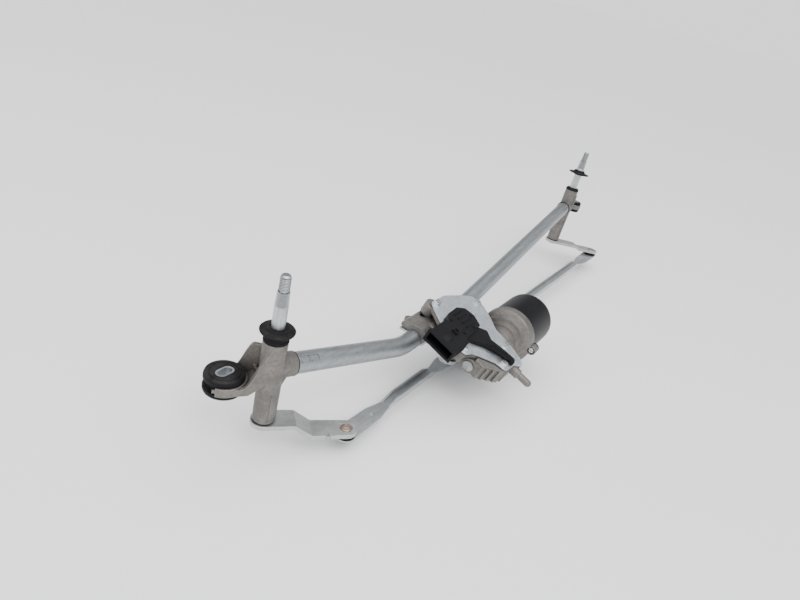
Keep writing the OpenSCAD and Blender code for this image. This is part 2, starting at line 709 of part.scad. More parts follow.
module cover_screws() {
    color(zinc) at_motor() for (p = screw_spots) translate([p.x, p.y, 0]) screw(cover_screw_len);
}

// Connector module on the cover
plug_x = -77;
plug_z = 1;
plug_top = 13;
plug_w = 32;
plug_wall = 1.6;
module_edge = [[-48, 17], [-37, 15], [-30, 21], [-10, 22], [0, 16], [2, 4], [-4, -8], [-30, -10], [-48,
    -11]];
tongue_edge = [[-30, -4], [-4, -6], [4, -16], [-3, -26], [0, -42], [1, -56], [-6, -60], [-6.5, -44],
    [-18, -25], [-31, -10]];
module connector_module() {
    color(black) at_motor() difference() {
        union() {
            linear_extrude(9) polygon(rounded(module_edge, 2, 3));
            linear_extrude(5) polygon(rounded(tongue_edge, 1.5, 3));
            translate([plug_x, -plug_w / 2, plug_z]) cube([32, plug_w, plug_top - plug_z]);
            // lead frame ribs on the tongue and the body
            for (i = [0:3]) translate([-13 + 2.6 * i, -40 - 2 * i, 5]) rotate([0, 0, -78])
                translate([-14, 0, 0])
                cube([26, 1.2, 1]);
            for (i = [0:3]) translate([-24, 16 - 6 * i, 9]) cube([18, 1.4, 1.2]);
        }
        translate([plug_x - cut, -plug_w / 2 + plug_wall, plug_z + plug_wall])
            cube([22 + cut, plug_w - 2 * plug_wall, plug_top - plug_z - 2 * plug_wall]);
        translate([-45.5, -0.5, 6]) cube([4, 4, 10]);
    }
}
module terminal_pins() {
    mid = (plug_z + plug_top) / 2;
    color(brass) at_motor() for (i = [-2:2]) translate([plug_x + 8, i * 5 - 1.25, mid - 0.4]) cube([14,
        2.5, 0.8]);
}

// Motor: yoke, magnets, armature and brushes on the worm axis
yoke_r = yoke_d / 2;
yoke_end = yoke_x + yoke_len;
shaft_r = 3;
core_r = 17;
magnet_in = core_r + 0.8;
core_x = yoke_x + 13;
core_len = yoke_len - 24;
module in_motor() { at_motor() at_worm() children(); }
module motor_yoke() {
    t = yoke_wall;
    crown = 9;
    end_in = yoke_end - t;
    color(black) in_motor() difference() {
        union() {
            revolve_x(concat(
                [[0, yoke_end], [0, end_in], [6, end_in], [6, end_in - 4], [8, end_in - 4], [8, end_in]],
                [for (a = [90:-15:0]) [yoke_r - crown + (crown - t) * cos(a),
                    yoke_end - crown + (crown - t) * sin(a)]],
                [[yoke_r - t, yoke_x], [yoke_r, yoke_x]],
                [for (a = [0:15:90]) [yoke_r - crown + crown * cos(a),
                    yoke_end - crown + crown * sin(a)]]));
            // ears for the two screws
            difference() {
                at_yoke_lugs(yoke_x + lug_inset) bar(lug_boss_r, t);
                translate([yoke_x - cut, 0, 0]) bar(yoke_r - t / 2, t + 2 * cut + lug_inset);
            }
        }
        at_yoke_lugs(yoke_x - cut) bar(screw_r, t + 2 * cut + lug_inset);
    }
}
module yoke_screws() {
    color(zinc) in_motor() at_yoke_lugs(yoke_lug_x) rotate([0, -90, 0])
        screw(yoke_x - yoke_lug_x + yoke_wall, 3.2);
}
module magnets() {
    color("#4a4a4e") in_motor() for (side = [0, 180]) rotate([side + 90, 0, 0]) translate([core_x - 2,
        0, 0])
        rotate([0, 90, 0]) rotate([0, 0, -60]) rotate_extrude(angle = 120)
            translate([magnet_in, 0]) square([yoke_r - yoke_wall - magnet_in, core_len + 4]);
}
comm_r = 8;
comm_x = yoke_x - 6;
plate_t = 3;
module brush_plate() {
    color(black) in_motor() translate([yoke_x - 8, 0, 0]) difference() {
        bar(bell_bore - side_gap, plate_t);
        translate([-cut, 0, 0]) bar(comm_r + 4, plate_t + 2 * cut);
    }
}
module brushes() {
    color("#3a3532") in_motor() for (side = [-1, 1])
        translate([yoke_x - 5, side * (comm_r + 0.3) + (side < 0 ? -9 : 0), -2.5]) cube([5, 9, 5]);
}
module worm_end_bush() {
    color(bronze) in_motor() translate([end_x + 4, 0, 0]) difference() {
        bar(end_bush_r, end_bush_len);
        translate([-cut, 0, 0]) bar(shaft_r + run_gap, end_bush_len + 2 * cut);
    }
}
module yoke_bush() {
    color(bronze) in_motor() translate([yoke_end - yoke_wall - 4, 0, 0]) difference() {
        bar(6, 4);
        translate([-cut, 0, 0]) bar(shaft_r + run_gap, 3 + cut);
    }
}
module thrust_screw() {
    color(zinc) in_motor() translate([end_x - 1.5, 0, 0]) difference() {
        union() {
            bar(4, 5.5);
            bar(5.5, 1.5);
        }
        translate([-cut, -0.6, -4]) cube([1.6, 1.2, 8]);
    }
}
module output_bush() {
    color(bronze) at_motor() translate([0, 0, boss_low])
        ring(out_bush_r, out_d / 2 + run_gap, pocket_floor - boss_low);
}

// Armature with its worm
worm_pitch = PI * gear_module;
worm_r = worm_y - gear_module * gear_teeth / 2;
thread_rise = 0.85;
worm_turns = 7;
worm_len = worm_turns * worm_pitch;
module armature_shaft() {
    color(steel) in_motor() {
        difference() {
            translate([end_x + 4.2, 0, 0]) bar(shaft_r, yoke_end - yoke_wall - 1.4 - end_x - 4.2);
            translate([-worm_len / 2, 0, 0]) bar(shaft_r + cut, worm_len);
        }
        translate([-worm_len / 2, 0, 0]) rotate([0, 90, 0]) rotate([0, 0, worm_turns * 180 - 90])
            linear_extrude(height = worm_len, twist = 360 * worm_turns, slices = 14 * worm_turns, $fn = 20)
                translate([thread_rise, 0]) circle(worm_r);
    }
}
module armature_core() {
    color(steel) in_motor() translate([core_x, 0, 0]) difference() {
        bar(core_r, core_len);
        translate([-cut, 0, 0]) bar(shaft_r, core_len + 2 * cut);
        for (i = [0:11]) rotate([30 * i, 0, 0]) translate([-cut, -1, core_r - 1.5])
            cube([core_len + 2 * cut, 2, 4]);
    }
}
module armature_winding() {
    color(copper) in_motor() for (x = [core_x - 5, core_x + core_len]) translate([x, 0, 0]) difference() {
        bar(core_r - 3, 5);
        translate([-cut, 0, 0]) bar(shaft_r, 5 + 2 * cut);
    }
}
module commutator() {
    color(copper) in_motor() translate([comm_x, 0, 0]) difference() {
        bar(comm_r, core_x - 5 - comm_x);
        translate([-cut, 0, 0]) bar(shaft_r, 30);
        for (i = [0:11]) rotate([30 * i + 15, 0, 0]) translate([-cut, -0.25, comm_r - 0.6]) cube([30,
            0.5, 2]);
    }
}

// Output shaft, worm gear and crank
gear_r = gear_module * gear_teeth / 2;
tip_r = worm_y - worm_r + thread_rise - 0.25;
root_r = worm_y - worm_r - thread_rise - 0.3;
hub_d = out_d - 2;
nut_h = 6;
shaft_low = -crank_depth - crank_t - nut_h - 0.3;
module output_shaft() {
    color(steel) at_motor() difference() {
        union() {
            translate([0, 0, -crank_depth]) cylinder(r = out_d / 2, h = crank_depth + gear_top);
            translate([0, 0, shaft_low]) cylinder(r = thread_d / 2, h = -shaft_low - crank_depth + cut);
            translate([0, 0, -crank_depth - crank_t]) cylinder(r = hub_d / 2, h = crank_t + cut);
        }
        // clip groove under the boss
        translate([0, 0, boss_low - 1]) ring(out_d, out_d / 2 - 0.8, 0.9);
    }
}
// Tooth widths at root, middle and tip
tooth = [1.5, 0.9, 0.35];
module worm_gear() {
    step = 360 / gear_teeth;
    outline = [for (i = [0:gear_teeth - 1], s = [[-tooth[0], root_r], [-tooth[1], gear_r], [-tooth[2],
        tip_r],
        [tooth[2], tip_r], [tooth[1], gear_r], [tooth[0], root_r]])
        let (a = -90 + i * step) [s[1] * cos(a) - s[0] / 2 * sin(a), s[1] * sin(a) + s[0] / 2 * cos(a)]];
    color("#d8d2c0") at_motor() translate([0, 0, gear_top - gear_t]) difference() {
        linear_extrude(gear_t) polygon(outline);
        translate([0, 0, -cut]) cylinder(r = out_d / 2, h = gear_t + 2 * cut);
        translate([0, 0, gear_t - 2]) ring(root_r - 4, out_d / 2 + 4, 5);
    }
}
module crank_arm() {
    top = -crank_depth;
    bend_0 = 16;
    bend_1 = bend_0 + crank_step * 1.5;
    lean = crank_t * tan(atan2(crank_step, bend_1 - bend_0) / 2);
    far = crank_r + 14;
    color(zinc) at_motor() difference() {
        intersection() {
            rotate([90, 0, 0]) translate([0, 0, -20]) linear_extrude(40) polygon([[-20, top], [bend_0, top],
                [bend_1, top - crank_step], [far, top - crank_step], [far, top - crank_step - crank_t],
                [bend_1 - lean, top - crank_step - crank_t], [bend_0 - lean, top - crank_t], [-20,
                    top - crank_t]]);
            translate([0, 0, top - 30]) linear_extrude(40) {
                circle(13);
                translate([crank_r, 0]) circle(10.5);
                polygon([[0, -13], [crank_r, -10.5], [crank_r, 10.5], [0, 13]]);
            }
        }
        translate([0, 0, top - 20]) cylinder(r = hub_d / 2, h = 40);
        translate([crank_r, 0, top - 20]) cylinder(r = pin_neck, h = 40);
    }
}
module crank_nut() {
    color(zinc) at_motor() translate([0, 0, -crank_depth - crank_t - nut_h]) difference() {
        union() {
            cylinder(r = 7.5, h = nut_h, $fn = 6);
            translate([0, 0, nut_h - 1.2]) cylinder(r = 8.2, h = 1.2);
        }
        translate([0, 0, -cut]) cylinder(r = thread_d / 2, h = nut_h + 2 * cut);
    }
}
module output_clip() {
    color(steel) at_motor() translate([0, 0, boss_low - 1]) difference() {
        ring(out_d / 2 + 2.2, out_d / 2 - 0.8, 0.9);
        translate([0, -2, -cut]) cube([20, 4, 4]);
    }
}
// Double ball pin: the far rod rides the upper ball, the near rod the lower one
pin_neck = 3.6;
pin_face = -crank_depth - crank_step - crank_t;
ball_1 = pin_face - 7.5;
ball_2 = ball_1 - ball_pitch;
ball_r = ball_d / 2;
ball_gap = 0.2;
neck_room = 1;
module crank_pin() {
    color(steel) at_motor() translate([crank_r, 0, 0]) {
        translate([0, 0, ball_2]) cylinder(r = pin_neck, h = pin_face + crank_t - ball_2);
        translate([0, 0, pin_face + crank_t]) cylinder(r1 = 6.5, r2 = 5, h = 1.8);
        for (z = [ball_1, ball_2]) translate([0, 0, z]) sphere(ball_r);
    }
}

// Spindles, levers and their pivots
module spindle(seat_h, groove_z) {
    knurl_z = seat_h - knurl_len;
    difference() {
        rotate_extrude() polygon([[0, -washer_t - lever_t - head_t], [head_r - 1,
            -washer_t - lever_t - head_t],
            [head_r, -washer_t - lever_t - head_t + 1], [head_r, -washer_t - lever_t], [neck_r,
                -washer_t - lever_t],
            [neck_r, -washer_t], [spindle_r, -washer_t], [spindle_r, knurl_z], [spindle_r - 0.3,
                knurl_z + 0.6],
            [thread_d / 2 + 0.6, seat_h], [thread_d / 2, seat_h], [thread_d / 2, seat_h + thread_len - 1],
            [thread_d / 2 - 1, seat_h + thread_len], [0, seat_h + thread_len]]);
        translate([0, 0, groove_z]) ring(spindle_d, spindle_r - 0.7, clip_t);
    }
}
clip_t = 1;
module clip(z) {
    translate([0, 0, z]) difference() {
        ring(spindle_r + 1.8, spindle_r - 0.7, clip_t);
        translate([0, -2, -cut]) cube([20, 4, 4]);
    }
}
clip_gap = 0.2;
module near_spindle() { color(zinc) stand() spindle(near_seat_h, near_barrel_h + clip_gap); }
module near_clip() { color(steel) stand() clip(near_barrel_h + clip_gap); }
module near_washer() {
    color(rubber) stand() translate([0, 0, -washer_t]) ring(barrel_r - 0.8, spindle_r,
        washer_t - side_gap);
}
module far_spindle() { color(zinc) at_far() spindle(far_seat_h, far_barrel_h + clip_gap); }
module far_clip() { color(steel) at_far() clip(far_barrel_h + clip_gap); }
module far_washer() {
    color(rubber) at_far() translate([0, 0, -washer_t]) ring(barrel_r - 0.8, spindle_r,
        washer_t - side_gap);
}
far_seal_z = 114;
module far_seal() {
    r = spindle_r;
    color(rubber) at_far() translate([0, 0, far_seal_z]) rotate_extrude() polygon([[r, -1.5], [8.5,
        -1.5], [9, 0.5],
        [15.5, 0.2], [16, 1.2], [9.5, 2.6], [8.5, 4], [7.5, 5.5], [r, 5.5]]);
}

stud_r = 4;
// A step-bent lever plate along local +X, spindle at the origin
module lever(r, step, bend_0, bend_1, notch) {
    lean = lever_t * tan(atan2(step, bend_1 - bend_0) / 2);
    far = r + lever_end_w;
    difference() {
        intersection() {
            rotate([90, 0, 0]) translate([0, 0, -lever_w]) linear_extrude(2 * lever_w) polygon([
                [-lever_w, 0], [bend_0, 0], [bend_1, -step], [far, -step], [far, -step - lever_t],
                [bend_1 - lean, -step - lever_t], [bend_0 - lean, -lever_t], [-lever_w, -lever_t]]);
            translate([0, 0, -40]) linear_extrude(80) difference() {
                union() {
                    circle(d = lever_w);
                    translate([r, 0]) circle(d = lever_end_w);
                    polygon([[0, -lever_w / 2], [r, -lever_end_w / 2], [r, lever_end_w / 2], [0,
                        lever_w / 2]]);
                }
                if (notch > 0) polygon([[notch - 3.2, -lever_w / 2], [notch, -lever_w / 2 + 4.6],
                    [notch + 3.2, -lever_w / 2]]);
            }
        }
        translate([0, 0, -lever_t - cut]) cylinder(r = neck_r, h = lever_t + 2 * cut);
        translate([r, 0, -step - lever_t - cut]) cylinder(r = stud_r, h = lever_t + 2 * cut);
        translate([r - 1.5, 0, -step - 0.7]) obround(15, 11, 2);
    }
}
module at_near_lever() { stand() translate([0, 0, -washer_t]) rotate([0, 0, near_lever_a]) children(); }
module at_far_lever() { at_far() translate([0, 0, -washer_t]) rotate([0, 0, far_lever_a]) children(); }
module near_lever() { color(zinc) at_near_lever() lever(near_lever_r, near_step, 26.5, 42.4, 56.4); }
module far_lever() { color(zinc) at_far_lever() lever(far_lever_r, far_step, 44, 50, 0); }
// Rivet stud: head in the lever's recess, a shallow ball-shaped foot under the lever
foot_r = 14;
foot_a = 20;
foot_h = foot_r * (1 - cos(foot_a));
foot_rim = foot_r * sin(foot_a);
foot_low = -lever_t - pivot_gap - foot_h;
module stud() {
    translate([0, 0, -lever_t - 0.01]) cylinder(r = stud_r, h = lever_t + 0.3);
    translate([0, 0, -0.7]) rotate_extrude() polygon([[0, 0], [5, 0], [5, 0.6], [4.2, 1.3], [2, 1.6],
        [0, 1.6]]);
    rotate_extrude() polygon(concat([[0, -lever_t], [0, foot_low]],
        [for (i = [1:5]) [foot_r * sin(foot_a * i / 5),
            foot_low + foot_r * (1 - cos(foot_a * i / 5))]], [[foot_rim, -lever_t]]));
}
module near_stud() { color(copper) at_near_lever() translate([near_lever_r, 0, -near_step]) stud(); }
module far_stud() { color(copper) at_far_lever() translate([far_lever_r, 0, -far_step]) stud(); }

// Rods: pressed channels between the crank's balls and the levers
socket_r = socket_d / 2;
lip_r = socket_r + 1;
lip_t = 3;
plate_drop = lever_t + pivot_gap + lip_t + rod_t / 2;
near_pivot = let (p = polar(near_lever_r, near_lever_a)) [p.x, p.y, -washer_t - near_step - plate_drop];
far_pivot = let (p = polar(far_lever_r, far_lever_a)) far_point([p.x, p.y,
    -washer_t - far_step - plate_drop]);
far_ball = motor_point([crank_r, 0, ball_1]);
near_ball = motor_point([crank_r, 0, ball_2]);
module rod(len) {
    we = rod_end_w / 2;
    w = rod_w / 2;
    x1 = rod_flat;
    x2 = rod_flat + rod_taper;
    difference() {
        union() {
            translate([0, 0, -rod_t / 2]) linear_extrude(rod_t) {
                circle(we);
                translate([len, 0]) circle(we);
                polygon([[0, -we], [x1, -we + 0.8], [x2, -w], [len - x2, -w], [len - x1, -we + 0.8],
                    [len, -we],
                    [len, we], [len - x1, we - 0.8], [len - x2, w], [x2, w], [x1, we - 0.8], [0, we]]);
            }
            for (side = [-1, 1]) translate([0, side > 0 ? w : rod_t - w, 0]) rotate([90, 0, 0])
                linear_extrude(rod_t) polygon([[x2, 0], [x2 + 3 * rod_flange_h, rod_flange_h],
                    [len - x2 - 3 * rod_flange_h, rod_flange_h], [len - x2, 0]]);
        }
        for (x = [0, len]) translate([x, 0, -10]) cylinder(r = socket_r, h = 20);
        for (x = [rod_flat - 2, len - rod_flat + 2]) translate([x, 0, -10]) cylinder(r = 1.8, h = 20);
    }
}
module near_rod() { color(zinc) stand() aim(near_ball, near_pivot) rod(norm(near_pivot - near_ball)); }
module far_rod() { color(zinc) stand() aim(far_ball, far_pivot) rod(norm(far_pivot - far_ball)); }
// Ring socket on a crank ball, lying in its rod's plane
module crank_socket(ball, pivot) {
    h = 4.2;
    difference() {
        stand() aim(ball, pivot) {
            translate([0, 0, -h]) cylinder(r = socket_r, h = 2 * h);
            translate([0, 0, rod_t / 2]) cylinder(r = lip_r, h = 1.4);
            translate([0, 0, -rod_t / 2 - 1.4]) cylinder(r = lip_r, h = 1.4);
        }
        stand() translate(ball) rotate([motor_tilt, 0, 0]) {
            sphere(ball_r + ball_gap);
            // room for the pin's neck and its other ball
            translate([0, 0, -ball_pitch]) cylinder(r = pin_neck + neck_room, h = 2 * ball_pitch);
            for (side = [-1, 1]) translate([0, 0, side * ball_pitch]) sphere(ball_r + 2 * ball_gap);
        }
    }
}
module near_crank_socket() { color(black) crank_socket(near_ball, near_pivot); }
module far_crank_socket() { color(black) crank_socket(far_ball, far_pivot); }
// Cup under a lever: a lip and a dome in the rod's plane, and a shallow dish for the stud's foot
cup_gap = 0.1;
cup_slope = 0.9;
cup_dome = 5;
dish_gap = 0.3;
module cup() {
    top = rod_t / 2 + lip_t;
    seat = rod_t / 2 + cup_gap / 2;
    rotate_extrude() polygon(concat(
        [[0, top], [foot_rim, top], [lip_r - 0.8, top - cup_slope], [lip_r, top - cup_slope - 0.8],
            [lip_r, seat],
         [socket_r - cup_gap, seat], [socket_r - cup_gap, -rod_t / 2 - 0.8]],
        [for (a = [0:15:90]) [(socket_r - 1) * cos(a), -rod_t / 2 - 1 - cup_dome * sin(a)]]));
}
module dish() { translate([0, 0, rod_t / 2 + lip_t + foot_r - foot_h]) sphere(foot_r + dish_gap); }
module near_lever_socket() {
    color(black) stand() difference() {
        aim(near_pivot, near_ball) cup();
        translate(near_pivot) dish();
    }
}
module far_lever_socket() {
    color(black) stand() difference() {
        aim(far_pivot, far_ball) cup();
        translate(far_pivot) rotate([0, far_tilt, 0]) dish();
    }
}

frame_tube();
near_housing();
near_bushes();
near_boot();
near_grommet();
near_sleeve();
near_tube_seal();
far_housing();
far_bushes();
far_cap_ring();
far_grommet();
far_sleeve();
far_tube_seal();
gear_housing();
tube_strap();
strap_screws();
gear_cover();
cover_gasket();
cover_screws();
connector_module();
terminal_pins();
motor_yoke();
yoke_screws();
magnets();
brush_plate();
brushes();
worm_end_bush();
yoke_bush();
thrust_screw();
output_bush();
output_shaft();
worm_gear();
crank_arm();
crank_nut();
crank_pin();
output_clip();
armature_shaft();
armature_core();
armature_winding();
commutator();
near_spindle();
near_lever();
near_stud();
near_washer();
near_clip();
far_spindle();
far_lever();
far_stud();
far_washer();
far_clip();
far_seal();
near_rod();
near_crank_socket();
near_lever_socket();
far_rod();
far_crank_socket();
far_lever_socket();
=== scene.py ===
import json
import math
from contextlib import contextmanager

import bpy
from mathutils import Matrix, Vector


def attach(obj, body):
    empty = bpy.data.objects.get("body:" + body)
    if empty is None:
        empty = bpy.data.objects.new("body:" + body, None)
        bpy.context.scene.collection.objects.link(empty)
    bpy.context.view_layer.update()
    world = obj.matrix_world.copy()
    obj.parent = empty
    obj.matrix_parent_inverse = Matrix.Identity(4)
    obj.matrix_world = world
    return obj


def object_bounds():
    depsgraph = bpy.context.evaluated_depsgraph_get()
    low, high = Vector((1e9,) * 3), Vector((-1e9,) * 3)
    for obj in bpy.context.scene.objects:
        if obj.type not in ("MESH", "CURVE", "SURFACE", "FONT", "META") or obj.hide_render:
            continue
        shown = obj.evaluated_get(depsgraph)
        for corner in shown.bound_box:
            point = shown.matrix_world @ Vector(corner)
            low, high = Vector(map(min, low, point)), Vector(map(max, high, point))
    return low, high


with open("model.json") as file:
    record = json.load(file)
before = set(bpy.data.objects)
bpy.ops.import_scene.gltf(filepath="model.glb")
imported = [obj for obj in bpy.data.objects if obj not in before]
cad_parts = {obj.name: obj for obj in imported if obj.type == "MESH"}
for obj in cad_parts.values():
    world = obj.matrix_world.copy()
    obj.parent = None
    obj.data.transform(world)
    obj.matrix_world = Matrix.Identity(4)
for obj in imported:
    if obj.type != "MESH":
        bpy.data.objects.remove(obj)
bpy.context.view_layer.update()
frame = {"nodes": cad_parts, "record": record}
nodes = frame["nodes"]
record = frame["record"]
mounts = {mount["name"]: mount for mount in record["mounts"]}
joints = {joint["name"]: joint for joint in record["behaviour"]["joints"]}
slot_of = {part["node"]: part["material_slot"] for part in record["subparts"]}

MM = 0.001
SPINDLES = ("near_spindle", "far_spindle")

# Spindle tips, in millimetres: the thread, and the knurl on the cone below it
THREAD_R = 4.0
THREAD_LEN = 12.6
PITCH = 1.25
RIDGE_PROUD = 0.42
RIDGE_SUNK = 0.12
RIDGE_WIDTH = 0.74 * PITCH
RIDGE_START = 0.55 * PITCH
SWEEP_STEPS = 36
KNURL_LEN = 12.4
KNURL_GAP = 0.2
KNURL_FOOT_R = 5.15
KNURL_TOP_R = 4.68
TEETH = 40
TOOTH_PROUD = 0.3
TOOTH_SUNK = 0.25
TOOTH_FILL = 0.8
TOOTH_CREST = 0.18
ROOT_FADE = 0.4

# Frame tube, in millimetres: its axis on the barrels, its bends seen from the crank, and its dents
TUBE_R = 9.5
NEAR_TUBE_Z = 52.5
FAR_TUBE_Z = 59
NEAR_BEND = (-74, 37.2, -18)
FAR_BEND = (64, 40.2, -19)
NEAR_SHOULDER = 20.5
FAR_SHOULDER = 16
DENT_AT = (8, 18.5)
DENT_TURN = 40

# Levers: the turn from +X in degrees, and the place of the rivet's end in millimetres
NEAR_LEVER_TURN = -40.4
FAR_LEVER_TURN = -48.3
NEAR_RIVET_END = (73.4, 0, -11.6)
FAR_RIVET_END = (76.5, 0, -3.3)


# Shader arithmetic: a socket that takes part in Python expressions
class Val:
    def __init__(self, mixer, socket):
        self.mixer = mixer
        self.socket = socket

    def math(self, operation, first, second):
        return self.mixer.node("ShaderNodeMath", {"operation": operation}, {0: first, 1: second}).out()

    def __add__(self, other):
        return self.math("ADD", self, other)

    def __sub__(self, other):
        return self.math("SUBTRACT", self, other)

    def __rsub__(self, other):
        return self.math("SUBTRACT", other, self)

    def __mul__(self, other):
        return self.math("MULTIPLY", self, other)

    __radd__ = __add__
    __rmul__ = __mul__

    def clamp(self):
        return self.mixer.node("ShaderNodeClamp", {}, {"Value": self}).out()

    def band(self, low, high):
        """0 at low, 1 at high, smooth between."""
        return self.mixer.node("ShaderNodeMapRange", {"interpolation_type": "SMOOTHSTEP"},
                               {"Value": self, "From Min": low, "From Max": high}).out()


class Made:
    """A node that was made, for its outputs."""

    def __init__(self, mixer, node):
        self.mixer = mixer
        self.node = node

    def out(self, name=0):
        return Val(self.mixer, self.node.outputs[name])


class Mixer:
    """A node tree, and the one way in which its nodes are made."""

    def __init__(self, tree):
        self.tree = tree

    def node(self, kind, settings={}, inputs={}):
        made = self.tree.nodes.new(kind)
        for key, value in settings.items():
            if key == "stops":
                self.ramp(made.color_ramp, value)
            else:
                setattr(made, key, value)
        for key, value in inputs.items():
            self.put(made.inputs[key], value)
        return Made(self, made)

    def ramp(self, ramp, stops):
        ramp.interpolation = "EASE"
        for stop, (position, colour) in zip(ramp.elements, stops):
            stop.position = position
            stop.color = colour

    def put(self, socket, value):
        if isinstance(value, Val):
            self.tree.links.new(value.socket, socket)
        else:
            socket.default_value = value


class Paint(Mixer):
    """One material and the patterns that it is mixed from."""

    def __init__(self, name):
        self.mat = bpy.data.materials.new(name)
        self.mat.use_nodes = True
        super().__init__(self.mat.node_tree)
        self.shader = self.tree.nodes["Principled BSDF"]
        self.place = self.node("ShaderNodeTexCoord").out("Object")
        self.normal = None

    def stand_on(self, place, turn):
        """Measures the pattern from a spindle's tip, up along its axis."""
        self.place = self.node("ShaderNodeMapping", {"vector_type": "TEXTURE"},
                               {"Vector": self.place, "Location": place, "Rotation": turn}).out()

    def upward(self, vector):
        return self.node("ShaderNodeSeparateXYZ", {}, {0: vector}).out("Z")

    def noise(self, scale, detail=4.0, rough=0.55, stretch=(1, 1, 1)):
        place = self.node("ShaderNodeMapping", {}, {"Vector": self.place, "Scale": stretch}).out()
        return self.node("ShaderNodeTexNoise", {}, {"Vector": place, "Scale": scale,
                                                    "Detail": detail, "Roughness": rough}).out("Fac")

    def cells(self, scale, output="Distance"):
        return self.node("ShaderNodeTexVoronoi", {}, {"Vector": self.place, "Scale": scale}).out(output)

    def facets(self, scale):
        """A grey of its own for each crystal of the plating."""
        return self.node("ShaderNodeSeparateColor", {}, {"Color": self.cells(scale, "Color")}).out("Red")

    def mix(self, share, first, second):
        return self.node("ShaderNodeMix", {"data_type": "RGBA"}, {0: share, 6: first, 7: second}).out(2)

    def bump(self, height, strength, depth):
        """Raises the surface by a pattern; depth is in millimetres."""
        inputs = {"Height": height, "Strength": strength, "Distance": depth * MM}
        if self.normal:
            inputs["Normal"] = self.normal
        self.normal = self.node("ShaderNodeBump", {}, inputs).out()

    def facing(self):
        return self.node("ShaderNodeNewGeometry").out("Normal")

    def soft_edges(self, radius):
        """Rounds the look of sharp edges, and returns how near an edge a point is."""
        self.normal = self.node("ShaderNodeBevel", {"samples": 6}, {"Radius": radius * MM}).out()
        along = self.node("ShaderNodeVectorMath", {"operation": "DOT_PRODUCT"},
                          {0: self.normal, 1: self.facing()}).out("Value")
        return (1 - along).band(0.02, 0.22)

    def painted_corner_shade(self, reach, deepest, open_air):
        """A mask for painted shade: 1 deep in corners, falling to 0 in the open."""
        light = self.node("ShaderNodeAmbientOcclusion", {"samples": 6}, {"Distance": reach * MM}).out("AO")
        return 1 - light.band(deepest, open_air)

    def finish(self, colour, rough, metallic, coat=0.0, coat_rough=0.2, shine=0.5):
        inputs = {"Base Color": colour, "Roughness": rough, "Metallic": metallic, "Coat Weight": coat,
                  "Coat Roughness": coat_rough, "Specular IOR Level": shine, "Normal": self.normal}
        for name, value in inputs.items():
            if value is not None:
                self.put(self.shader.inputs[name], value)
        return self.mat


def rgb(red, green, blue):
    return (red, green, blue, 1.0)


def tint(colour, factors):
    return rgb(*[min(1.0, part * factor) for part, factor in zip(colour, factors)])


def shade(colour, factor):
    return tint(colour, (factor, factor, factor))


# Die-cast alloy: flow marks, fine grain, small pits, a painted highlight on the edges and painted shade in
# the corners
def cast_alloy(name, colour):
    p = Paint(name)
    edge = p.soft_edges(0.9)
    flow = p.noise(38, detail=5, rough=0.6, stretch=(1, 1, 1.7))
    cloud = p.noise(11, detail=3)
    grain = p.noise(900, detail=3, rough=0.7)
    mottle = p.noise(320, detail=3, rough=0.6)
    pits = p.cells(330).band(0.22, 0.05) * p.noise(60, detail=2).band(0.5, 0.66)
    body = p.mix(flow.band(0.32, 0.68), shade(colour, 0.72), shade(colour, 1.16))
    body = p.mix(cloud.band(0.4, 0.75) * 0.5, body, tint(colour, (1.08, 1.02, 0.94)))
    body = p.mix(mottle.band(0.38, 0.64) * 0.5, body, shade(colour, 0.64))
    # painted highlight: edges made paler
    body = p.mix((edge * (0.45 + flow * 0.7)).clamp(), body, shade(colour, 1.7))
    # painted shade: darker deep in corners
    body = p.mix(p.painted_corner_shade(9, 0.25, 0.8) * 0.62, body, shade(colour, 0.3))
    body = p.mix(pits * 0.5, body, shade(colour, 0.4))
    p.bump(grain, strength=0.22, depth=0.12)
    p.bump(flow, strength=0.2, depth=0.5)
    p.bump(1 - pits, strength=0.3, depth=0.2)
    return p.finish(body, rough=0.46 + grain * 0.12 + mottle * 0.12 - edge * 0.12, metallic=0.75)


# Plated or galvanised sheet: spangle, rolling streaks, dull stains, a painted highlight on the edges and
# painted shade in the corners
def plated(name, colour, rough, spangle, streak, stretch, edge_radius=0.5, stain=0.35, tip=None):
    p = Paint(name)
    if tip:
        p.stand_on(*tip)
    edge = p.soft_edges(edge_radius)
    facet = p.facets(300)
    lines = p.noise(420, rough=0.6, stretch=stretch)
    cloud = p.noise(26, detail=5, rough=0.62)
    fine = p.noise(1500, detail=2)
    spots = p.noise(210, detail=2).band(0.66, 0.78)
    body = p.mix(facet * spangle, shade(colour, 0.86), shade(colour, 1.2))
    body = p.mix(lines.band(0.35, 0.7) * streak, body, shade(colour, 0.66))
    body = p.mix(cloud.band(0.46, 0.78) * stain, body, tint(colour, (0.74, 0.75, 0.76)))
    body = p.mix(spots * 0.3, body, shade(colour, 0.62))
    # painted highlight: edges made brighter
    body = p.mix(edge * 0.5, body, shade(colour, 1.3))
    # painted shade: darker deep in corners
    body = p.mix(p.painted_corner_shade(6, 0.2, 0.75) * 0.55, body, shade(colour, 0.28))
    # painted shade on a spindle's tip: the shank between the thread's ridges and the knurl's teeth made dark
    if tip:
        body = p.mix(painted_root_shade(p) * 0.85, body, shade(colour, 0.16))
    p.bump(fine, strength=0.1, depth=0.05)
    p.bump(lines, strength=0.12 * streak + 0.03, depth=0.08)
    p.bump(cloud, strength=0.08, depth=0.3)
    roughness = rough + facet * (spangle * 0.12) + lines * (0.1 * streak) + cloud * 0.1
    return p.finish(body, roughness, metallic=0.94)


def painted_root_shade(p):
    """1 over the thread and the knurl, where the shank shows only as roots, which are painted dark as shade.
    """
    height = p.upward(p.place)
    foot = -KNURL_LEN * MM
    top = THREAD_LEN * MM
    fade = ROOT_FADE * MM
    return height.band(foot, foot + fade) * height.band(top, top - fade)
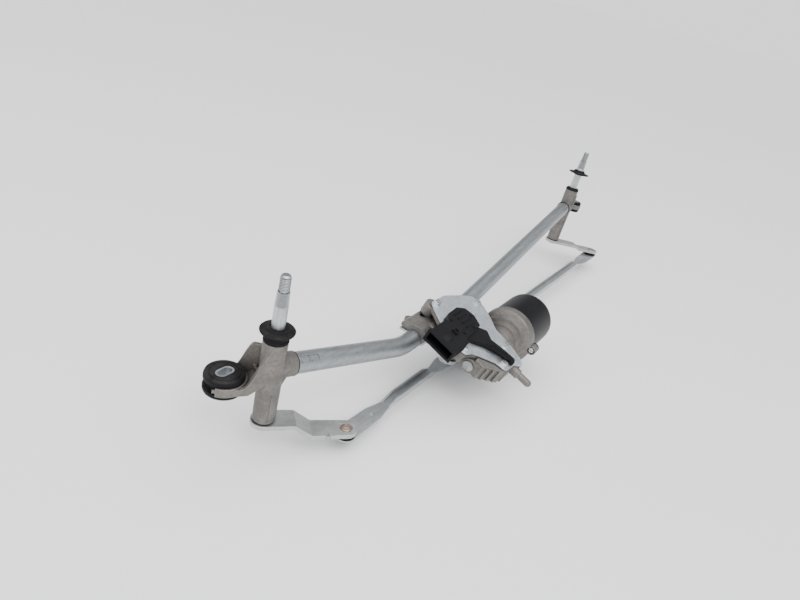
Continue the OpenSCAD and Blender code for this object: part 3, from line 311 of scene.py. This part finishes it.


# Rubber: matte, finely pitted, dusty where it faces up, with a painted highlight on its edges
def rubber(name, colour):
    p = Paint(name)
    edge = p.soft_edges(0.6)
    fine = p.noise(1300, detail=3, rough=0.65)
    cloud = p.noise(75)
    dust = p.upward(p.facing()).band(0.1, 1.0) * cloud.band(0.35, 0.75)
    body = p.mix(cloud, shade(colour, 0.7), shade(colour, 1.35))
    body = p.mix(dust * 0.12, body, rgb(0.2, 0.19, 0.18))
    # painted highlight: edges made paler
    body = p.mix(edge * 0.35, body, shade(colour, 2.6))
    p.bump(fine, strength=0.3, depth=0.1)
    p.bump(cloud, strength=0.12, depth=0.3)
    return p.finish(body, rough=0.5 + cloud * 0.2 + dust * 0.15, metallic=0.0, shine=0.14)


# Moulded plastic: spark-eroded grain, faint flow lines, light scuffs and a painted highlight on the edges
def moulded(name, colour, rough):
    p = Paint(name)
    edge = p.soft_edges(0.35)
    grain = p.cells(1100)
    flow = p.noise(55, stretch=(1, 3, 1))
    scuff = p.noise(340, detail=3, rough=0.7, stretch=(1, 9, 1)).band(0.66, 0.76)
    body = p.mix(flow, shade(colour, 0.8), shade(colour, 1.3))
    # painted highlight: edges made paler
    body = p.mix(edge * 0.5, body, shade(colour, 2.8))
    body = p.mix(scuff * 0.3, body, shade(colour, 2.2))
    p.bump(grain, strength=0.16, depth=0.06)
    p.bump(flow, strength=0.08, depth=0.2)
    return p.finish(body, rough + grain * 0.1 + scuff * 0.12 + flow * 0.06, metallic=0.0, shine=0.16)


# Satin paint over steel: orange peel, a thin coat, and metal at rubbed edges
def painted(name, colour):
    p = Paint(name)
    edge = p.soft_edges(0.7)
    peel = p.noise(520, detail=2)
    cloud = p.noise(24)
    chip = (edge * p.noise(300, rough=0.7).band(0.5, 0.64)).clamp()
    body = p.mix(cloud, shade(colour, 0.75), shade(colour, 1.3))
    body = p.mix(chip * 0.8, body, rgb(0.34, 0.34, 0.35))
    p.bump(peel, strength=0.12, depth=0.12)
    return p.finish(body, rough=0.34 + cloud * 0.12 + chip * 0.15, metallic=chip * 0.8,
                    coat=0.03, coat_rough=0.3, shine=0.11)


# Turned or coloured metal: rings of the tool, small stains and a painted highlight on the edges
def turned(name, colour, rough, metallic=0.95):
    p = Paint(name)
    edge = p.soft_edges(0.3)
    cloud = p.noise(160, rough=0.6)
    lines = p.noise(1400, detail=2, rough=0.5, stretch=(1, 1, 3))
    body = p.mix(cloud.band(0.3, 0.75), shade(colour, 0.7), shade(colour, 1.2))
    # painted highlight: edges made brighter
    body = p.mix(edge * 0.5, body, shade(colour, 1.5))
    p.bump(lines, strength=0.15, depth=0.06)
    return p.finish(body, rough + cloud * 0.14, metallic)


def tip_turn(mount):
    return Vector(mount["axis"]).to_track_quat("Z", "Y")


def spindle_plate(spindle):
    tip = (mounts[spindle]["pos_m"], tip_turn(mounts[spindle]).to_euler())
    return plated(spindle + " plate", rgb(0.50, 0.53, 0.55), rough=0.22, spangle=0.6, streak=0.7,
                  stretch=(1, 1, 0.08), tip=tip)


ALONG_X = (0.03, 1, 1)
finishes = {
    "cast": cast_alloy("cast alloy", rgb(0.190, 0.180, 0.169)),
    "zinc": plated("zinc plate", rgb(0.50, 0.53, 0.555), rough=0.32, spangle=0.5, streak=0.25,
                   stretch=(1, 0.3, 1)),
    "sheet": plated("zinc sheet", rgb(0.60, 0.64, 0.675), rough=0.36, spangle=0.5, streak=0.25,
                    stretch=(1, 0.2, 1)),
    "screws": plated("bright zinc", rgb(0.80, 0.83, 0.85), rough=0.2, spangle=0.3, streak=0.1,
                     stretch=(1, 1, 1), edge_radius=0.3),
    "galvanised": plated("galvanised steel", rgb(0.36, 0.38, 0.395), rough=0.36, spangle=0.45, streak=0.6,
                         stretch=ALONG_X),
    "rods": plated("rod zinc", rgb(0.54, 0.56, 0.57), rough=0.38, spangle=0.45, streak=0.6,
                   stretch=ALONG_X),
    "lever_zinc": plated("passivated steel", rgb(0.52, 0.53, 0.52), rough=0.38, spangle=0.4, streak=0.4,
                         stretch=(0.3, 0.3, 1), edge_radius=0.6, stain=0.5),
    "steel": turned("turned steel", rgb(0.36, 0.37, 0.38), rough=0.24),
    "rubber": rubber("rubber", rgb(0.005, 0.005, 0.006)),
    "black_plastic": moulded("black plastic", rgb(0.006, 0.006, 0.007), rough=0.4),
    "yoke_black": painted("satin paint", rgb(0.007, 0.007, 0.008)),
    "rivet": turned("copper plate", rgb(0.36, 0.27, 0.225), rough=0.4),
    "bronze": turned("sintered bronze", rgb(0.38, 0.27, 0.16), rough=0.45),
    "brass": turned("brass", rgb(0.70, 0.54, 0.24), rough=0.25),
    "copper": turned("copper", rgb(0.64, 0.31, 0.16), rough=0.32),
    "gear": moulded("gear nylon", rgb(0.62, 0.58, 0.47), rough=0.4),
    "magnet": turned("ferrite", rgb(0.05, 0.05, 0.055), rough=0.6, metallic=0.3),
    "carbon": moulded("carbon", rgb(0.03, 0.028, 0.026), rough=0.55),
}
for spindle in SPINDLES:
    finishes[spindle] = spindle_plate(spindle)

# CAD nodes whose finish is their own and not their slot's
own_finish = {"gear_cover": "sheet", "cover_screws": "screws", "yoke_screws": "screws",
              "strap_screws": "screws", "thrust_screw": "steel", "near_rod": "rods", "far_rod": "rods",
              "near_spindle": "near_spindle", "far_spindle": "far_spindle"}


def dress(obj, finish):
    obj.data.materials.clear()
    obj.data.materials.append(finishes[finish])


for name, obj in nodes.items():
    dress(obj, own_finish.get(name, slot_of[name]))


# Modelling steps that every new piece takes
def deselect():
    bpy.ops.object.select_all(action="DESELECT")


def take(obj):
    """Selects one piece alone."""
    deselect()
    obj.select_set(True)
    bpy.context.view_layer.objects.active = obj


def applied(obj):
    """Moves a piece's place, turn and scale into its mesh."""
    take(obj)
    bpy.ops.object.transform_apply(location=True, rotation=True, scale=True)
    return obj


def placed(obj, place, turn):
    """Puts a piece at a place in millimetres."""
    obj.location = Vector(place) * MM
    obj.rotation_euler = turn
    return applied(obj)


@contextmanager
def shaping(chosen=None, kind="FACE"):
    """Edit mode on the active piece, with the chosen faces or corners selected, or with all of it."""
    mesh = bpy.context.object.data
    bpy.ops.object.mode_set(mode="EDIT")
    bpy.ops.mesh.select_mode(type=kind)
    bpy.ops.mesh.select_all(action="DESELECT" if chosen else "SELECT")
    if chosen:
        bpy.ops.object.mode_set(mode="OBJECT")
        for part in mesh.polygons if kind == "FACE" else mesh.vertices:
            part.select = chosen(part)
        bpy.ops.object.mode_set(mode="EDIT")
    yield
    bpy.ops.object.mode_set(mode="OBJECT")


def faces_up(face):
    return face.normal.z > 0.9


def resized(x, y, z):
    """Scales what is selected about the origin."""
    bpy.ops.transform.resize(value=(x, y, z), center_override=(0, 0, 0))


def done(obj, name, body, finish, smooth=30):
    """Cleans a finished piece and gives it a name, a body and a material."""
    applied(obj)
    with shaping():
        bpy.ops.mesh.remove_doubles(threshold=1e-7)
        bpy.ops.mesh.normals_make_consistent(inside=False)
    bpy.ops.object.shade_smooth_by_angle(angle=math.radians(smooth))
    obj.name = name
    dress(obj, finish)
    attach(obj, body)


def fitted(pieces, name, body, finish, place, smooth=30):
    """Joins details into one piece and puts it in place."""
    take(pieces[0])
    for obj in pieces:
        obj.select_set(True)
    if len(pieces) > 1:
        bpy.ops.object.join()
    pieces[0].matrix_world = place
    done(pieces[0], name, body, finish, smooth)


def copies(pattern, spots):
    """Copies of a piece, each with its own mesh, at places in millimetres and turns."""
    pieces = []
    for place, turn in spots:
        take(pattern)
        bpy.ops.object.duplicate()
        pieces.append(placed(bpy.context.object, place, turn))
    bpy.data.objects.remove(pattern)
    return pieces


# Spindle tips: threads and knurls
def tip_frame(mount):
    """The foot of a spindle's thread, with Z up along the spindle."""
    return Matrix.Translation(mount["pos_m"]) @ tip_turn(mount).to_matrix().to_4x4()


def thread(spindle):
    """A low three-cornered ridge, its base sunk in the shank, swept up round the tip."""
    deep = RIDGE_PROUD + RIDGE_SUNK
    # a triangle in a circle is one and a half radii deep, and root three radii wide
    corner_r = deep / 1.5
    deselect()
    bpy.ops.mesh.primitive_circle_add(vertices=3, radius=corner_r * MM, fill_type="NGON",
                                      rotation=(math.pi / 2, math.pi / 2, 0))
    ridge = applied(bpy.context.object)
    with shaping():
        resized(1, 1, RIDGE_WIDTH / (math.sqrt(3) * corner_r))
        out = THREAD_R - RIDGE_SUNK + deep - corner_r
        bpy.ops.transform.translate(value=(out * MM, 0, RIDGE_START * MM))
    sweep = ridge.modifiers.new("sweep", "SCREW")
    sweep.axis = "Z"
    sweep.screw_offset = PITCH * MM
    sweep.iterations = int(THREAD_LEN / PITCH) - 1
    sweep.steps = sweep.render_steps = SWEEP_STEPS
    sweep.use_normal_calculate = True
    bpy.ops.object.modifier_apply(modifier=sweep.name)
    ridge.matrix_world = tip_frame(mounts[spindle])
    done(ridge, spindle + "_thread", spindle, "zinc", smooth=50)


def knurl(spindle):
    """One tooth, narrowed to its crest and leant in to the cone, then spun round the spindle."""
    foot = 2 * math.pi * KNURL_FOOT_R / TEETH * TOOTH_FILL
    deselect()
    bpy.ops.mesh.primitive_cube_add(size=1)
    tooth = bpy.context.object
    tooth.scale = Vector((TOOTH_PROUD + TOOTH_SUNK, foot, KNURL_LEN - KNURL_GAP)) * MM
    placed(tooth, (KNURL_FOOT_R + (TOOTH_PROUD - TOOTH_SUNK) / 2, 0, -(KNURL_LEN + KNURL_GAP) / 2), (0, 0, 0))
    with shaping(lambda face: face.normal.x > 0.9):
        resized(1, TOOTH_CREST, 1)
    with shaping(faces_up):
        bpy.ops.transform.translate(value=((KNURL_TOP_R - KNURL_FOOT_R) * MM, 0, 0))
    with shaping():
        bpy.ops.mesh.spin(steps=TEETH, dupli=True, angle=2 * math.pi, center=(0, 0, 0), axis=(0, 0, 1))
    tooth.matrix_world = tip_frame(mounts[spindle])
    done(tooth, spindle + "_knurl", spindle, "zinc", smooth=20)


for spindle in SPINDLES:
    thread(spindle)
    knurl(spindle)


# Forms of the small raised details, in millimetres
UPRIGHT = (0, 0, 0)
FACING_X = (0, math.pi / 2, 0)


def brick(low, high, round_over=0.25, slope=0):
    """A box between two corners, its edges rounded, its upper end at -X lowered by the slope."""
    middle = (Vector(low) + Vector(high)) / 2
    deselect()
    bpy.ops.mesh.primitive_cube_add(size=1)
    obj = bpy.context.object
    obj.scale = (Vector(high) - Vector(low)) * MM
    applied(obj)
    if slope:
        with shaping(lambda corner: corner.co.x < 0 < corner.co.z, "VERT"):
            bpy.ops.transform.translate(value=(0, 0, -slope * MM))
    with shaping():
        bpy.ops.mesh.bevel(offset=round_over * MM, segments=2, affect="EDGES")
    return placed(obj, middle, UPRIGHT)


def post(radius, height, top, place=(0, 0, 0), sides=24, turn=UPRIGHT):
    """A round or many-sided post whose end is drawn in to a smaller, dished face."""
    crown = 0.35 * height
    brim = 0.35 * radius * top
    dish = 0.3 * height
    deselect()
    bpy.ops.mesh.primitive_cylinder_add(vertices=sides, radius=radius * MM, depth=height * MM,
                                        end_fill_type="NGON")
    obj = bpy.context.object
    with shaping(faces_up):
        bpy.ops.mesh.extrude_region_move(TRANSFORM_OT_translate={"value": (0, 0, crown * MM)})
        resized(top, top, 1)
        bpy.ops.mesh.inset(thickness=brim * MM)
        bpy.ops.transform.translate(value=(0, 0, -dish * MM))
    return placed(obj, place, turn)


def hoop(radius, thick, place, turn=UPRIGHT):
    """A round bead whose section is drawn out along its axis."""
    deselect()
    bpy.ops.mesh.primitive_torus_add(major_segments=72, minor_segments=10, major_radius=radius * MM,
                                     minor_radius=thick * MM)
    obj = bpy.context.object
    with shaping():
        resized(1, 1, 1.3)
    return placed(obj, place, turn)


def rim(length, width, wall, height, place=(0, 0, 0), turn=UPRIGHT):
    """An open frame, drawn flat with its walls up along Z and then turned into place."""
    deselect()
    bpy.ops.mesh.primitive_plane_add(size=1)
    obj = bpy.context.object
    obj.scale = (length * MM, width * MM, 1)
    applied(obj)
    with shaping():
        bpy.ops.mesh.inset(thickness=wall * MM)
        bpy.ops.mesh.delete(type="FACE")
        bpy.ops.mesh.select_all(action="SELECT")
        bpy.ops.mesh.extrude_region_move(TRANSFORM_OT_translate={"value": (0, 0, height * MM)})
    return placed(obj, place, turn)


# Frames of the pieces that carry details, from the joints
def frame_at(joint):
    """A joint's place, with Z up along its axis."""
    turn = Vector((0, 0, 1)).rotation_difference(-Vector(joint["axis"]))
    return Matrix.Translation(joint["pos_m"]) @ turn.to_matrix().to_4x4()


def spun(place, degrees):
    return place @ Matrix.Rotation(math.radians(degrees), 4, "Z")


def tube_end(barrel, height, bend, shoulder):
    """An end of the frame tube, with X along the tube."""
    corner = barrel @ Vector((0, 0, height * MM))
    way = (MOTOR.translation + Vector(bend) * MM - corner).normalized()
    return Matrix.Translation(corner + way * shoulder * MM) @ way.to_track_quat("X", "Z").to_matrix().to_4x4()


NEAR_FOOT = frame_at(joints["near_spindle_turn"])
FAR_FOOT = frame_at(joints["far_spindle_turn"])
MOTOR = frame_at(joints["crank_turn"])
WORM = Matrix.Translation(joints["armature_spin"]["pos_m"]) @ MOTOR.to_3x3().to_4x4()
NEAR_TUBE = tube_end(NEAR_FOOT, NEAR_TUBE_Z, NEAR_BEND, NEAR_SHOULDER)
FAR_TUBE = tube_end(FAR_FOOT, FAR_TUBE_Z, FAR_BEND, FAR_SHOULDER)


# Connector: rim, latch and window frame of the plug box, keys on its sides, heat stakes on the module
def plug_details():
    pieces = [rim(length=14, width=34, wall=2.5, height=2.6, place=(-77.15, 0, 7), turn=FACING_X)]
    pieces.append(brick((-71, -4, 12.6), (-61, 4, 14.8), round_over=0.3, slope=1.7))
    pieces.append(rim(length=6.4, width=6.4, wall=1.1, height=1.3, place=(-49.4, 0.4, 13.8)))
    key = brick((-12.5, -0.6, -0.8), (12.5, 0.6, 0.8))
    pieces += copies(key, [((-62.5, y, z), UPRIGHT) for y in (-16.2, 16.2) for z in (4, 10)])
    stake = post(radius=1.7, height=1.2, top=0.7)
    stakes_at = ((-33, 14), (-33, -5), (-2, 6), (-14, -6))
    pieces += copies(stake, [((x, y, 9.2), UPRIGHT) for x, y in stakes_at])
    pieces.append(post(radius=1.6, height=1.2, top=0.7, place=(-3, -54.5, 5.2)))
    fitted(pieces, "plug_details", "frame", "black_plastic", MOTOR)


# Yoke: rolled rim at the open end, bearing cup on the closed end
def yoke_details():
    rolled = hoop(radius=30.3, thick=0.9, place=(61.6, 0, 0), turn=FACING_X)
    cup = post(radius=9.5, height=2.4, top=0.82, place=(123.2, 0, 0), sides=48, turn=FACING_X)
    fitted([rolled, cup], "yoke_details", "frame", "yoke_black", WORM)


# Barrels: seams left by the casting dies
def parting_line(name, low, high, foot):
    fitted([brick(low, high, round_over=0.2)], name, "frame", "cast", spun(foot, -118))


# Frame tube: rims raised round the dents that lock its ends, and a thin black rubber ring at each end that
# draws the dark line where the tube goes into its casting
def tube_details(end, place, dent_turn):
    sunk = TUBE_R - 0.6
    spots = []
    for x in DENT_AT:
        for side in (0, 180):
            a = math.radians(dent_turn + side)
            spots.append(((x, -sunk * math.sin(a), sunk * math.cos(a)), (a, 0, 0)))
    dent = rim(length=9.2, width=6.7, wall=0.6, height=1.0)
    fitted(copies(dent, spots), end + "_dent_rims", "frame", "galvanised", place)
    ring_at_mouth = hoop(radius=TUBE_R + 0.65, thick=0.5, place=(-0.5, 0, 0), turn=FACING_X)
    fitted([ring_at_mouth], end + "_seal_lip", "frame", "rubber", place)


# Near grommet: a raised bead round its face
def grommet_bead():
    bead = hoop(radius=12.2, thick=0.6, place=(-25, 25, 44.65))
    fitted([bead], "grommet_bead", "frame", "rubber", NEAR_FOOT)


# Levers: the peened ends of the rivet studs
def rivet_end(name, body, place, lever):
    end = post(radius=3.6, height=1.0, top=0.62, place=place, sides=7)
    fitted([end], name, body, "rivet", lever, smooth=20)


plug_details()
yoke_details()
parting_line("near_parting_line", (9.5, -0.5, 2), (10.5, 0.5, 30), NEAR_FOOT)
parting_line("far_parting_line", (9.2, -0.5, 2), (10.3, 0.5, 44), FAR_FOOT)
tube_details("near", NEAR_TUBE, DENT_TURN)
tube_details("far", FAR_TUBE, -DENT_TURN)
grommet_bead()
rivet_end("near_rivet_end", "near_spindle", NEAR_RIVET_END, spun(NEAR_FOOT, NEAR_LEVER_TURN))
rivet_end("far_rivet_end", "far_spindle", FAR_RIVET_END, spun(FAR_FOOT, FAR_LEVER_TURN))

# A plain pale floor just under the part
STUDIO_MIDDLE = (0.3, -0.05, -0.1)
FLOOR_SIZE = 120
FLOOR_GAP = 1
deselect()
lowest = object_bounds()[0][2]
bpy.ops.mesh.primitive_plane_add(size=FLOOR_SIZE, location=(STUDIO_MIDDLE[0], 0, lowest - FLOOR_GAP * MM))
floor = bpy.context.object
floor.name = "floor"
ground = Paint("floor")
tone = ground.mix(ground.noise(1.5, detail=2), rgb(0.90, 0.90, 0.90), rgb(0.93, 0.93, 0.93))
floor.data.materials.append(ground.finish(tone, rough=0.7, metallic=0.0))

# A studio that is bright round the horizon and darker overhead
HORIZON = (0.10, rgb(1.0, 1.0, 1.0))
OVERHEAD = (0.36, rgb(0.10, 0.105, 0.115))
world = bpy.data.worlds.new("studio")
bpy.context.scene.world = world
world.use_nodes = True
sky = Mixer(world.node_tree)
ray = sky.node("ShaderNodeTexCoord").out("Generated")
height = sky.node("ShaderNodeSeparateXYZ", {}, {0: ray}).out("Z")
glow = sky.node("ShaderNodeValToRGB", {"stops": (HORIZON, OVERHEAD)}, {0: height}).out("Color")
backdrop = sky.tree.nodes["Background"]
sky.put(backdrop.inputs["Color"], glow)
sky.put(backdrop.inputs["Strength"], 1.42)


def hang(name, kind, place, target, power):
    """A lamp that points at a target."""
    lamp = bpy.data.lights.new(name, kind)
    lamp.energy = power
    obj = bpy.data.objects.new(name, lamp)
    obj.location = place
    obj.rotation_euler = (Vector(target) - Vector(place)).to_track_quat("-Z", "Y").to_euler()
    bpy.context.scene.collection.objects.link(obj)
    return lamp


def softbox(name, place, size, power):
    lamp = hang(name, "AREA", place, STUDIO_MIDDLE, power)
    lamp.shape = "RECTANGLE"
    lamp.size, lamp.size_y = size


softbox("key", place=(-0.5, -1.0, 1.5), size=(0.9, 0.9), power=16)
softbox("side", place=(-1.3, 0.7, 0.8), size=(0.4, 1.2), power=8)
# a wide overhead lamp that lights the whole floor alike
overhead = hang("overhead", "SUN", place=(0, 0, 0), target=(0.12, 0.2, -1), power=4.4)
overhead.angle = math.radians(104)

# The camera, at the photo's angle
CAMERA_PLACE = (-0.3215, -0.2570, 0.2322)
CAMERA_FORWARD = (0.788, 0.397, -0.470)
CAMERA_RIGHT = (0.542, -0.809, 0.226)
lens = bpy.data.cameras.new("camera")
lens.sensor_width = 36
lens.lens = 28.2
lens.clip_start = 0.01
camera = bpy.data.objects.new("camera", lens)
forward = Vector(CAMERA_FORWARD).normalized()
right = Vector(CAMERA_RIGHT)
right = (right - right.dot(forward) * forward).normalized()
up = right.cross(forward)
camera.matrix_world = Matrix.Translation(CAMERA_PLACE) @ Matrix((right, up, -forward)).transposed().to_4x4()
bpy.context.scene.collection.objects.link(camera)
bpy.context.scene.camera = camera
